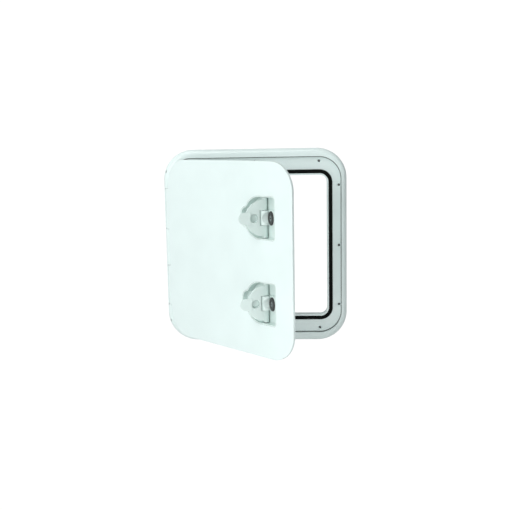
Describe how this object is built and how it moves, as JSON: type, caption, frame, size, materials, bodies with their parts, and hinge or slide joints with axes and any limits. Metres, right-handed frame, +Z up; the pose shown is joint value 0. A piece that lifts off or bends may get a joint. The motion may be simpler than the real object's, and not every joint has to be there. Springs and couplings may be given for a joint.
{
  "type": "deck hatch",
  "caption": "Hinged access hatch with a flanged frame, a raised coaming with a rubber seal, and a lid held by lift-lever latches with key locks.",
  "frame": {"origin": "middle of the clear opening, in the plane of the flange's rear mounting face", "axes": "-Y outwards through the front, +Z up along the hinge axis, +X from the hinge side to the latch side"},
  "size_m": [0.356, 0.2475, 0.38],
  "materials": {
    "white_plastic": "satin moulded",
    "latch_plastic": "satin moulded",
    "black_rubber": "matt",
    "black_foam": "closed-cell foam",
    "black_plastic": "fine texture",
    "stainless_steel": "brushed",
    "plated_zinc": "plated"
  },
  "bodies": {
    "frame": {"frame": "white_plastic", "flange_gasket": "black_foam", "seal": "black_rubber", "hinge_pin_upper": "stainless_steel", "hinge_pin_lower": "stainless_steel"},
    "lid": {"lid_panel": "white_plastic", "latch_cup_upper": "latch_plastic", "latch_cup_lower": "latch_plastic", "cup_gasket_upper": "black_rubber", "cup_gasket_lower": "black_rubber", "cup_screws_upper": "stainless_steel", "cup_screws_lower": "stainless_steel", "shaft_o_rings_upper": "black_rubber", "shaft_o_rings_lower": "black_rubber", "lock_body_upper": "plated_zinc", "lock_body_lower": "plated_zinc", "lock_bezel_upper": "black_plastic", "lock_bezel_lower": "black_plastic", "lock_nut_upper": "plated_zinc", "lock_nut_lower": "plated_zinc", "latch_spring_upper": "stainless_steel", "latch_spring_lower": "stainless_steel"},
    "latch_upper": {"latch_lever_upper": "latch_plastic", "latch_shaft_upper": "stainless_steel", "latch_hooks_upper": "stainless_steel", "shaft_clips_upper": "stainless_steel"},
    "key_upper": {"key_plug_upper": "plated_zinc", "lock_cam_upper": "stainless_steel", "cam_screw_upper": "stainless_steel"},
    "latch_lower": {"latch_lever_lower": "latch_plastic", "latch_shaft_lower": "stainless_steel", "latch_hooks_lower": "stainless_steel", "shaft_clips_lower": "stainless_steel"},
    "key_lower": {"key_plug_lower": "plated_zinc", "lock_cam_lower": "stainless_steel", "cam_screw_lower": "stainless_steel"}
  },
  "joints": [
    {"name": "lid_hinge", "type": "hinge", "parent": "frame", "child": "lid", "pos_m": [-0.1725, -0.0044, 0], "axis": [0, 0, -1], "range_deg": [-42.5, 122.5]},
    {"name": "lever_upper_lift", "type": "hinge", "parent": "lid", "child": "latch_upper", "pos_m": [0.02689, -0.17979, 0.075], "axis": [0, 0, 1], "range_deg": [-60, 10], "stiffness_Nm_per_rad": 0.05},
    {"name": "key_upper_turn", "type": "hinge", "parent": "lid", "child": "key_upper", "pos_m": [0.03911, -0.19517, 0.075], "axis": [0.9239, 0.3827, 0], "range_deg": [0, 90]},
    {"name": "lever_lower_lift", "type": "hinge", "parent": "lid", "child": "latch_lower", "pos_m": [0.02689, -0.17979, -0.075], "axis": [0, 0, 1], "range_deg": [-60, 10], "stiffness_Nm_per_rad": 0.05},
    {"name": "key_lower_turn", "type": "hinge", "parent": "lid", "child": "key_lower", "pos_m": [0.03911, -0.19517, -0.075], "axis": [0.9239, 0.3827, 0], "range_deg": [0, 90]}
  ]
}
